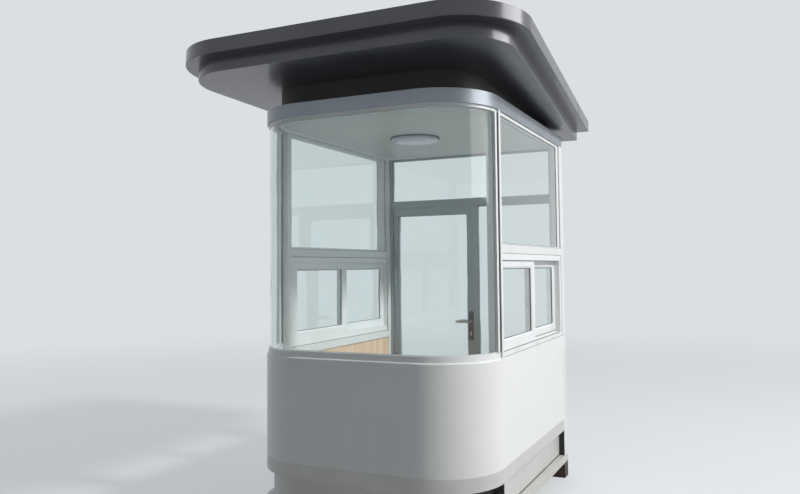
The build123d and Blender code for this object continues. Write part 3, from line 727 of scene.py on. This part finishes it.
def add_plinth_shade_sheets():
    """Black sheets of painted shade behind and beside the plinth plates, and painted shadow lines at the
    plates' feet.
    """
    floor_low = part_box("floor")[0]
    base_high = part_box("base_webs")[1]
    sheet = bmesh.new()
    path = body_line(SHADE_SHEET_INSET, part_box("base_posts")[0].y, floor_low.z)
    height = base_high.z - floor_low.z
    section = [(0.0, 0.0), (SHADE_SHEET_THICKNESS, 0.0), (SHADE_SHEET_THICKNESS, height), (0.0, height)]
    sweep(sheet, path, section, UP)
    for low, high in solids_of("base_posts"):
        side, outer, inner = side_faces(low, high)
        edge = outer - side * POST_EDGE
        bar(sheet, (edge, low.y - SHADE_SHEET_END_FRONT, low.z), (inner, low.y - SHADE_SHEET_END_BACK, high.z))
    add_piece("underfloor_painted_shade_sheet", sheet, PAINTED_SHADE_BLACK, "booth")

    # The black strips at the plates' feet are painted shadow lines, and the black plates at the rear posts
    # are painted shade.
    joints = bmesh.new()
    ends = bmesh.new()
    post_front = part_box("rear_posts")[0].y
    skirt_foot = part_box("skirt_band")[0].z
    for low, high in solids_of("base_webs"):
        if high.y - low.y < SIDE_PLATE_LENGTHS * (high.x - low.x):
            continue
        side, face, _ = side_faces(low, high)
        proud = face + side * SHADOW_LINE_PROUD
        edge = side * (HALF_WIDTH - SHADE_PLATE_INSET)
        bar(joints, (face, low.y, low.z), (proud, post_front, low.z + SHADOW_LINE_HEIGHT))
        bar(
            ends, (face, post_front - SHADE_PLATE_FRONT, low.z),
            (edge, post_front - SHADE_PLATE_BACK, skirt_foot),
        )
    add_piece("plinth_foot_painted_shadow_lines", joints, PAINTED_SHADE_BLACK, "booth")
    add_piece("plinth_end_painted_shade_plates", ends, PAINTED_SHADE_BLACK, "booth")


PLANK_PITCH = 0.090
PLANK_GAP = 0.004
PLANK_DROP = 0.0025
PLANK_INSET = 0.097
PLANK_CORNER_STEPS = 6
PLANK_EDGE = 0.0008

# The angle trim stands this far in from the body's line and has this section.
CEILING_TRIM_INSET = 0.081
CEILING_TRIM = [
    (0.0, 0.0), (0.0, -0.012), (0.002, -0.012), (0.003, -0.003), (0.016, -0.0025), (0.016, 0.0),
]


def add_ceiling():
    """Vinyl planks across the cabin, with open joints, and the angle trim round their ends."""
    planks = bmesh.new()
    y = FRONT_Y + PLANK_INSET
    end = REAR_Y - PLANK_INSET
    while y < end:
        far = min(y + PLANK_PITCH - PLANK_GAP, end)
        steps = PLANK_CORNER_STEPS if y < CORNER_END_Y else 1
        edge = [y + (far - y) * k / steps for k in range(steps + 1)]
        right = [(half_width_at(spot, PLANK_INSET), spot) for spot in edge]
        outline = right + [(-x, spot) for x, spot in reversed(right)]
        face = planks.faces.new([planks.verts.new((x, spot, CABIN_TOP)) for x, spot in outline])
        below = bmesh.ops.extrude_face_region(planks, geom=[face])["geom"]
        lowered = [part for part in below if isinstance(part, bmesh.types.BMVert)]
        bmesh.ops.translate(planks, verts=lowered, vec=(0.0, 0.0, -PLANK_DROP))
        y += PLANK_PITCH
    add_piece("ceiling_planks", planks, BOARD, "booth", edge=PLANK_EDGE)

    trim = bmesh.new()
    path = body_line(CEILING_TRIM_INSET, REAR_Y - CEILING_TRIM_INSET, CABIN_TOP)
    sweep(trim, path, CEILING_TRIM, UP, closed=True)
    add_piece("ceiling_edge_trim", trim, WHITE_PROFILE, "booth")


# The lamp's ring as a section from the lamp's rim and down from the ceiling, and the cover in it: a lip
# in the ring, a short upright skirt, a round of 30 mm and a slightly crowned face
LAMP_RING = [
    (-0.020, 0.0), (0.0, 0.0), (0.0, -0.011), (-0.002, -0.013), (-0.009, -0.013), (-0.010, -0.010),
    (-0.020, -0.010), (-0.020, 0.0),
]
LAMP_STEPS = 72
COVER_GAP = 0.011
COVER_LIP = 0.010
COVER_SKIRT = 0.015
COVER_ROUND = 0.030
COVER_ROUND_STEPS = 8
COVER_CROWN = 0.005
COVER_CENTRE_CROWN = 0.001


def add_lamp():
    """A round surface lamp: a pressed ring against the ceiling, dark grey as painted shade, and an opal
    cover in it.
    """
    low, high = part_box("ceiling_lamp")
    spot = ((low.x + high.x) / 2, (low.y + high.y) / 2, high.z)
    radius = (high.x - low.x) / 2
    drop = high.z - low.z
    ring = bmesh.new()
    turned(ring, [(radius + a, b) for a, b in LAMP_RING], spot, UP, LAMP_STEPS)
    bmesh.ops.remove_doubles(ring, verts=ring.verts, dist=WELD)
    # The ring's dark grey is painted shade where the lamp meets the ceiling.
    add_piece("ceiling_lamp_ring_painted_shade", ring, GREY_RUBBER, "booth", stands_for="ceiling_lamp")
    cover = bmesh.new()
    rim = radius - COVER_GAP
    profile = [(0.0, -COVER_LIP), (rim, -COVER_LIP), (rim, -COVER_SKIRT)]
    for k in range(1, COVER_ROUND_STEPS + 1):
        turn = math.pi / 2 * k / COVER_ROUND_STEPS
        depth = COVER_SKIRT + (drop - COVER_SKIRT - COVER_CROWN) * math.sin(turn)
        profile.append((rim - COVER_ROUND * (1 - math.cos(turn)), -depth))
    profile += [(rim / 2, -drop + COVER_CENTRE_CROWN), (0.0, -drop)]
    turned(cover, profile, spot, UP, LAMP_STEPS)
    add_piece("ceiling_lamp_cover", cover, OPAL, "booth", stands_for="ceiling_lamp")


LATCH_PLATE = 0.004
LATCH_THUMB_INSET = 0.003
LATCH_THUMB_HALF = 0.018
LATCH_SCREW_END = 0.008
LATCH_SCREW_RADIUS = 0.0042
LATCH_EDGE = 0.002


def add_latches():
    """Crescent latches on the meeting stiles: a plate, a rounded thumb piece and two screws."""
    mesh = bmesh.new()
    heads = bmesh.new()
    for low, high in solids_of("sash_latches"):
        sash_low, sash_high = solid_beside("inner_sashes", low.x)
        rear_side = (sash_low.y + sash_high.y) / 2 < low.y
        seat, tip = (low.y, high.y) if rear_side else (high.y, low.y)
        out = math.copysign(1.0, tip - seat)
        plate = seat + out * LATCH_PLATE
        bar(mesh, (low.x, seat, low.z), (high.x, plate, high.z))
        middle = (low.z + high.z) / 2
        bar(
            mesh, (low.x + LATCH_THUMB_INSET, seat, middle - LATCH_THUMB_HALF),
            (high.x - LATCH_THUMB_INSET, tip, middle + LATCH_THUMB_HALF),
        )
        for z in (low.z + LATCH_SCREW_END, high.z - LATCH_SCREW_END):
            screw(heads, ((low.x + high.x) / 2, plate, z), (0.0, out, 0.0), LATCH_SCREW_RADIUS)
    add_piece(
        "sash_latch_bodies", mesh, NYLON, "booth", edge=LATCH_EDGE,
        stands_for="sash_latches",
    )
    add_piece("sash_latch_screws", heads, ZINC, "booth")


# How far the open half of the outer track stays clear of the window's ends
FRONT_JAMB = 0.050
REAR_JAMB = 0.054
PILE_HEIGHT = 0.0035
PILE_PROUD = 0.0008
RIB_SHIFTS = (-0.007, 0.012)
RIB_HALF = 0.001
RIB_END_GAP = 0.001
RIB_HEIGHT = 0.010
HOOD_SHARES = (0.18, 0.5, 0.82)
HOOD_PROUD = 0.003
HOOD_HALF = 0.020
HOOD_FOOT = 0.010
HOOD_TOP = 0.019
HOOD_EDGE = 0.0015


def add_window_tracks():
    """Two upright ribs on the open half of each outer track, the wool pile at each sash's foot and along
    the outer track, and hooded drain holes under the sashes."""
    ribs = bmesh.new()
    piles = bmesh.new()
    hoods = bmesh.new()
    for low, high in solids_of("sliding_window_frames"):
        side, frame_face, _ = side_faces(low, high)
        sash_low, sash_high = solid_beside("outer_sashes", low.x)
        inner_low, inner_high = solid_beside("inner_sashes", low.x)
        front_is_free = sash_low.y - low.y > high.y - sash_high.y
        if front_is_free:
            y0, y1 = low.y + FRONT_JAMB, sash_low.y
        else:
            y0, y1 = sash_high.y, high.y - REAR_JAMB
        outer_face = side_faces(sash_low, sash_high)[1]
        inner_face = side_faces(inner_low, inner_high)[1]
        for face, start, end, foot in (
            (outer_face, min(sash_low.y, y0), max(sash_high.y, y1), sash_low.z),
            (inner_face, y0, y1, inner_low.z - PILE_HEIGHT / 2),
        ):
            bar(piles, (face, start, foot), (face + side * PILE_PROUD, end, foot + PILE_HEIGHT))
        for shift in RIB_SHIFTS:
            x = (sash_low.x + sash_high.x) / 2 + side * shift
            bar(
                ribs, (x - RIB_HALF, y0 + RIB_END_GAP, sash_low.z),
                (x + RIB_HALF, y1 - RIB_END_GAP, sash_low.z + RIB_HEIGHT),
            )
        for share in HOOD_SHARES:
            y = low.y + (high.y - low.y) * share
            bar(
                hoods, (frame_face, y - HOOD_HALF, low.z + HOOD_FOOT),
                (frame_face + side * HOOD_PROUD, y + HOOD_HALF, low.z + HOOD_TOP),
            )
    add_piece("window_track_ribs", ribs, WHITE_PROFILE, "booth")
    add_piece("sash_pile_seals", piles, WOOL_PILE, "booth")
    add_piece("window_drain_hoods", hoods, NYLON, "booth", edge=HOOD_EDGE)


# Hinge leaves stand 3 mm proud of the back. Screw places are from the middle of each hinge, from the
# ends of each plate, and the lock's from the foot of its plate.
HINGE_LEAF = 0.003
HINGE_SCREW_EDGE = 0.0045
HINGE_SCREW_RADIUS = 0.003
FRAME_HINGE_SCREWS = (-0.034, 0.034)
DOOR_HINGE_SCREWS = (-0.008, 0.008)
PLATE_SCREW_END = 0.012
PLATE_SCREW_RADIUS = 0.0036
HALF_LEAF_DEPTH = 0.019
LOCK_HEIGHT = 0.062
LOCK_BARREL = [(0.0, 0.0022), (0.0078, 0.0022), (0.0085, 0.0015), (0.0085, -0.001)]
LOCK_STEPS = 28
LOCK_TAIL_HALF = 0.005
LOCK_TAIL_FOOT = 0.024
LOCK_TAIL_TOP = 0.004
LOCK_TAIL_PROUD = 0.0018
LOCK_EDGE = 0.0005
KEYHOLE_HALF_WIDTH = 0.0008
KEYHOLE_HALF_HEIGHT = 0.0045
KEYHOLE_PROUD = 0.0026


def add_door_furniture():
    """Screws in the hinges and handle plates, and the lock barrel with its keyhole, a black slot of painted
    shade.
    """
    fixed = bmesh.new()
    moving = bmesh.new()
    leaf_face = REAR_Y + HINGE_LEAF
    for low, high in solids_of("frame_hinges"):
        middle = (low.z + high.z) / 2
        for shift in FRAME_HINGE_SCREWS:
            spot = (low.x + HINGE_SCREW_EDGE, leaf_face, middle + shift)
            screw(fixed, spot, (0.0, 1.0, 0.0), HINGE_SCREW_RADIUS)
    for low, high in solids_of("door_hinges"):
        middle = (low.z + high.z) / 2
        for shift in DOOR_HINGE_SCREWS:
            spot = (high.x - HINGE_SCREW_EDGE, leaf_face, middle + shift)
            screw(moving, spot, (0.0, 1.0, 0.0), HINGE_SCREW_RADIUS)
    barrels = bmesh.new()
    slots = bmesh.new()
    for low, high in solids_of("handle_plates"):
        outer = (low.y + high.y) / 2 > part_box("door_leaf")[0].y + HALF_LEAF_DEPTH
        face, out = (high.y, 1.0) if outer else (low.y, -1.0)
        x = (low.x + high.x) / 2
        for z in (low.z + PLATE_SCREW_END, high.z - PLATE_SCREW_END):
            screw(moving, (x, face, z), (0.0, out, 0.0), PLATE_SCREW_RADIUS)
        lock_z = low.z + LOCK_HEIGHT
        tail_face = face + out * LOCK_TAIL_PROUD
        turned(barrels, LOCK_BARREL, (x, face, lock_z), (0.0, out, 0.0), LOCK_STEPS)
        bar(
            barrels, (x - LOCK_TAIL_HALF, face, lock_z - LOCK_TAIL_FOOT),
            (x + LOCK_TAIL_HALF, tail_face, lock_z - LOCK_TAIL_TOP),
        )
        # The keyhole is a black bar: painted shade for the keyway.
        bar(
            slots, (x - KEYHOLE_HALF_WIDTH, tail_face, lock_z - KEYHOLE_HALF_HEIGHT),
            (x + KEYHOLE_HALF_WIDTH, face + out * KEYHOLE_PROUD, lock_z + KEYHOLE_HALF_HEIGHT),
        )
    add_piece("frame_hinge_screws", fixed, ZINC, "booth")
    add_piece("door_screws", moving, ZINC, "door")
    add_piece("lock_barrels", barrels, NICKEL, "door", edge=LOCK_EDGE)
    add_piece("keyhole_painted_shade", slots, RUBBER, "door")


# The canopy in its own place, before it is tilted and lifted
CANOPY_TILT = math.radians(3)
CANOPY_LAYER = 0.081
CANOPY_FRONT_HALF = 1.053
CANOPY_REAR_HALF = 0.884
CANOPY_RADIUS = 0.390
CANOPY_HALF_LENGTH = 1.353
CANOPY_MIDDLE = Vector((0.0, -0.00636, 2.591))
DECK_TOP = 0.154
ROOF_LAP_X = 0.35
ROOF_LAP_HALF = 0.018
ROOF_LAP_RISE = 0.0015
ROOF_LAP_INSET = 0.006
ROOF_SCREWS = 11
ROOF_SCREW_END = 0.08
ROOF_SCREW_RADIUS = 0.006
FASCIA_LAP_Y = 0.80
FASCIA_LAP_HALF = 0.022
FASCIA_LAP_SUNK = 0.0002
FASCIA_LAP_PROUD = 0.0009
FASCIA_LAP_FOOT = 0.007


def add_roof_details():
    """Lap joints with screws between the three roof sheets, and the lap in each upper fascia."""
    place = Matrix.Translation(CANOPY_MIDDLE) @ Matrix.Rotation(-CANOPY_TILT, 4, "X")
    laps = bmesh.new()
    heads = bmesh.new()
    reach = CANOPY_HALF_LENGTH - ROOF_LAP_INSET
    run = 2 * reach - 2 * ROOF_SCREW_END
    lap_top = DECK_TOP + ROOF_LAP_RISE
    for x in (-ROOF_LAP_X, ROOF_LAP_X):
        bar(laps, (x - ROOF_LAP_HALF, -reach, DECK_TOP), (x + ROOF_LAP_HALF, reach, lap_top))
        for number in range(ROOF_SCREWS):
            y = -reach + ROOF_SCREW_END + run * number / (ROOF_SCREWS - 1)
            screw(heads, (x, y, lap_top), UP, ROOF_SCREW_RADIUS)
    # The fascia runs straight from the front round to the back, and narrows on the way.
    straight = 2 * CANOPY_HALF_LENGTH - CANOPY_RADIUS
    share = (FASCIA_LAP_Y + CANOPY_HALF_LENGTH - CANOPY_RADIUS) / straight
    half = CANOPY_FRONT_HALF + (CANOPY_REAR_HALF - CANOPY_FRONT_HALF) * share
    lean = math.atan2(CANOPY_FRONT_HALF - CANOPY_REAR_HALF, straight)
    spot = Matrix.Translation((half, FASCIA_LAP_Y, 0.0)) @ Matrix.Rotation(lean, 4, "Z")
    fascia = bmesh.new()
    for side in (1.0, -1.0):
        strip = bmesh.new()
        bar(
            strip, (-FASCIA_LAP_SUNK, -FASCIA_LAP_HALF, CANOPY_LAYER + FASCIA_LAP_FOOT),
            (FASCIA_LAP_PROUD, FASCIA_LAP_HALF, 2 * CANOPY_LAYER),
        )
        strip.transform(Matrix.Diagonal((side, 1.0, 1.0, 1.0)) @ spot)
        part = bpy.data.meshes.new("fascia_lap_part")
        strip.to_mesh(part)
        strip.free()
        fascia.from_mesh(part)
        bpy.data.meshes.remove(part)
    for mesh in (laps, heads, fascia):
        mesh.transform(place)
    add_piece("roof_sheet_laps", laps, CANOPY_PAINT, "booth")
    add_piece("roof_screws", heads, ZINC, "booth")
    add_piece("fascia_laps", fascia, CANOPY_PAINT, "booth")


add_gaskets()
add_glazing_beads()
add_sealant()
add_plinth_shade_sheets()
add_ceiling()
add_lamp()
add_latches()
add_window_tracks()
add_door_furniture()
add_roof_details()


# The photograph's viewing place: where the eye is, how it is turned in degrees, and its lens in mm
EYE = (2.0302, -4.6232, 1.5432)
EYE_SWING = 25.18
EYE_LIFT = 3.13
EYE_ROLL = -0.53
LENS = 33.66
SENSOR = 36.0
FRAME_SHIFT = -0.0264


def place_camera():
    """The camera at the photograph's viewing angle."""
    data = bpy.data.cameras.new("camera")
    data.sensor_width = SENSOR
    data.lens = LENS
    data.shift_y = FRAME_SHIFT
    camera = bpy.data.objects.new("camera", data)
    bpy.context.scene.collection.objects.link(camera)
    turn = Matrix.Rotation(math.radians(EYE_SWING), 4, "Z")
    lift = Matrix.Rotation(math.radians(90 + EYE_LIFT), 4, "X")
    roll = Matrix.Rotation(math.radians(EYE_ROLL), 4, "Z")
    camera.matrix_world = Matrix.Translation(EYE) @ turn @ lift @ roll
    bpy.context.scene.camera = camera


# Plain pale studio. The sky is strongest towards SKY_LEAN and weakest away from it, so that the front
# stands in shade as in the photograph.
BACKDROP = "#dcdfe1"
SKY_LIGHT = "#f4f8ff"
SKY_LEAN = (-0.15, 0.88, 0.30)
SKY_DARK_SIDE = -0.6
SKY_WEAKEST = 0.02
SKY_STRONGEST = 1.0
FLOOR = "#a6a8a9"
FLOOR_RADIUS = 60.0
FLOOR_SIDES = 96
FLOOR_DROP = 0.0005
FLOOR_GLOW = 0.49
HORIZON_START = 3.0
HORIZON_END = 14.0


def seen_directly(tree):
    """1 for a ray that shows the backdrop to the eye, in a mirror or through glass, else 0."""
    ray = put(tree, "LightPath")
    seen = put(
        tree, "Math", {"operation": "MAXIMUM"}, links={0: (ray, "Is Camera Ray"), 1: (ray, "Is Glossy Ray")},
    )
    return put(
        tree, "Math", {"operation": "MAXIMUM"}, links={0: (seen, "Value"), 1: (ray, "Is Transmission Ray")},
    )


def place_backdrop():
    """The pale backdrop all round, and the soft light that comes from it."""
    bpy.context.scene.view_settings.view_transform = "Standard"
    world = bpy.data.worlds.new("studio")
    bpy.context.scene.world = world
    world.use_nodes = True
    tree = world.node_tree
    tree.nodes.clear()
    seen = seen_directly(tree)
    backdrop = put(tree, "Background", sockets={"Color": rgba(BACKDROP), "Strength": 1.0})
    place = put(tree, "TexCoord")
    lean = put(
        tree, "VectorMath", {"operation": "DOT_PRODUCT"}, {1: SKY_LEAN}, {0: (place, "Generated")},
    )
    bright = put(
        tree, "MapRange",
        sockets={"From Min": SKY_DARK_SIDE, "To Min": SKY_WEAKEST, "To Max": SKY_STRONGEST},
        links={"Value": (lean, "Value")},
    )
    light = put(
        tree, "Background", sockets={"Color": rgba(SKY_LIGHT)}, links={"Strength": (bright, "Result")},
    )
    mix = put(
        tree, "MixShader",
        links={0: (seen, "Value"), 1: (light, "Background"), 2: (backdrop, "Background")},
    )
    put(tree, "OutputWorld", links={"Surface": (mix, "Shader")})


def place_floor():
    """A pale floor that keeps the booth's shadow and fades into the backdrop."""
    mesh = bmesh.new()
    bmesh.ops.create_circle(mesh, cap_ends=True, segments=FLOOR_SIDES, radius=FLOOR_RADIUS)
    data = bpy.data.meshes.new("studio_floor")
    mesh.to_mesh(data)
    mesh.free()
    floor = bpy.data.objects.new("studio_floor", data)
    floor.location.z = -FLOOR_DROP
    bpy.context.scene.collection.objects.link(floor)
    material = bpy.data.materials.new("pale_studio_floor")
    material.use_nodes = True
    tree = material.node_tree
    tree.nodes.clear()
    place = put(tree, "TexCoord")
    reach = put(tree, "VectorMath", {"operation": "LENGTH"}, links={"Vector": (place, "Object")})
    far = put(
        tree, "MapRange", {"interpolation_type": "SMOOTHSTEP"},
        {"From Min": HORIZON_START, "From Max": HORIZON_END}, {"Value": (reach, "Value")},
    )
    seen = seen_directly(tree)
    share = put(tree, "Math", {"operation": "MULTIPLY"}, links={0: (far, "Result"), 1: (seen, "Value")})
    matt = put(tree, "BsdfDiffuse", sockets={"Color": rgba(FLOOR)})
    lift = put(tree, "Math", {"operation": "MULTIPLY"}, {1: FLOOR_GLOW}, {0: (seen, "Value")})
    glow = put(tree, "Emission", sockets={"Color": rgba(BACKDROP)}, links={"Strength": (lift, "Value")})
    near = put(tree, "AddShader", links={0: (matt, "BSDF"), 1: (glow, "Emission")})
    horizon = put(tree, "Emission", sockets={"Color": rgba(BACKDROP), "Strength": 1.0})
    mix = put(
        tree, "MixShader", links={0: (share, "Value"), 1: (near, "Shader"), 2: (horizon, "Emission")},
    )
    put(tree, "OutputMaterial", links={"Surface": (mix, "Shader")})
    data.materials.append(material)


LAMP_LIGHT = "#fffdfa"


def place_lamp(name, spot, aim, width, height, power):
    """A soft flat lamp of that size in metres and power in watts, turned towards aim."""
    data = bpy.data.lights.new(name, "AREA")
    data.shape = "RECTANGLE"
    data.size = width
    data.size_y = height
    data.energy = power
    data.color = linear(LAMP_LIGHT)
    lamp = bpy.data.objects.new(name, data)
    lamp.location = spot
    lamp.rotation_euler = (Vector(aim) - Vector(spot)).to_track_quat("-Z", "Y").to_euler()
    bpy.context.scene.collection.objects.link(lamp)
    return lamp


place_camera()
place_backdrop()
place_floor()
key = place_lamp("key_right", (9.5, -0.5, 9.0), (0.0, 0.0, 1.2), 1.2, 1.2, 1230.0)
key.visible_glossy = False
key.visible_transmission = False
# The two cards are what the glass and the lacquer mirror; the key and the sky do the lighting.
for name, spot, aim, width, height, power in (
    ("card_low", (6.2, 1.35, 3.2), (0.0, 1.35, 2.9), 5.1, 1.5, 60.0),
    ("card_high", (6.2, 1.05, 4.75), (0.0, 1.05, 3.4), 4.5, 1.4, 160.0),
):
    card = place_lamp(name, spot, aim, width, height, power)
    card.visible_diffuse = False
    card.visible_transmission = False
